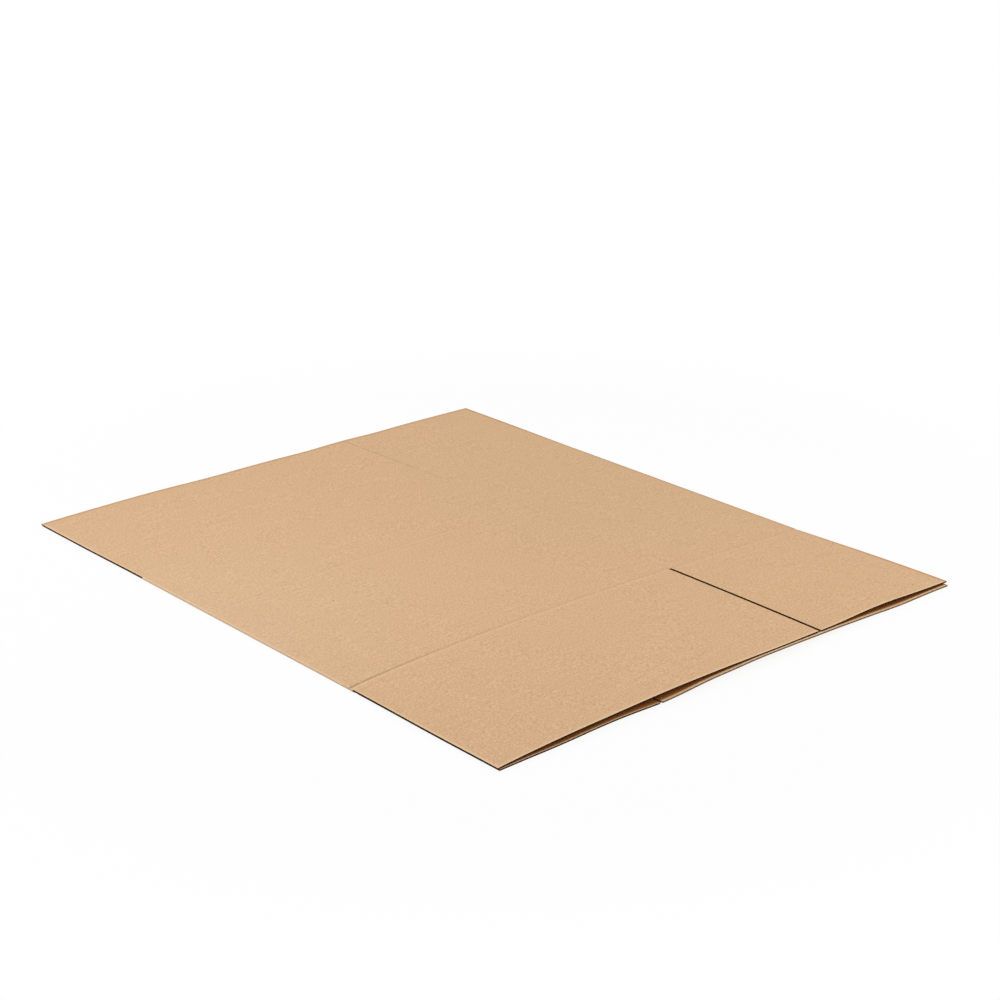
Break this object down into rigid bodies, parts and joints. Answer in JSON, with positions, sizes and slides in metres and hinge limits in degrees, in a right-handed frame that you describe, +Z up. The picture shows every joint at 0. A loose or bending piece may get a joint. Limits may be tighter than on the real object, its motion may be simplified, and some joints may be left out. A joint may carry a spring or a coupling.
{
  "type": "flattened cardboard box",
  "caption": "Corrugated shipping box knocked down flat: one slotted, scored and lap-glued sheet lying in two layers, with long end flaps, ready to be opened and packed.",
  "frame": {"origin": "centre of the flat box's outline, on the floor that it lies on", "axes": "+X across the panels, from the fold beside the upper wide panel to the fold beside the upper narrow panel; +Y along the flutes, away from the gaping near flaps; +Z up"},
  "size_m": [0.812, 1.0026, 0.0173],
  "materials": {
    "kraft_board": "plain uncoated brown kraft paper facings, matt, with fine fibre grain and open flutes at the cut edges"
  },
  "bodies": {
    "root": {"folded_sheet": "kraft_board"}
  },
  "joints": []
}
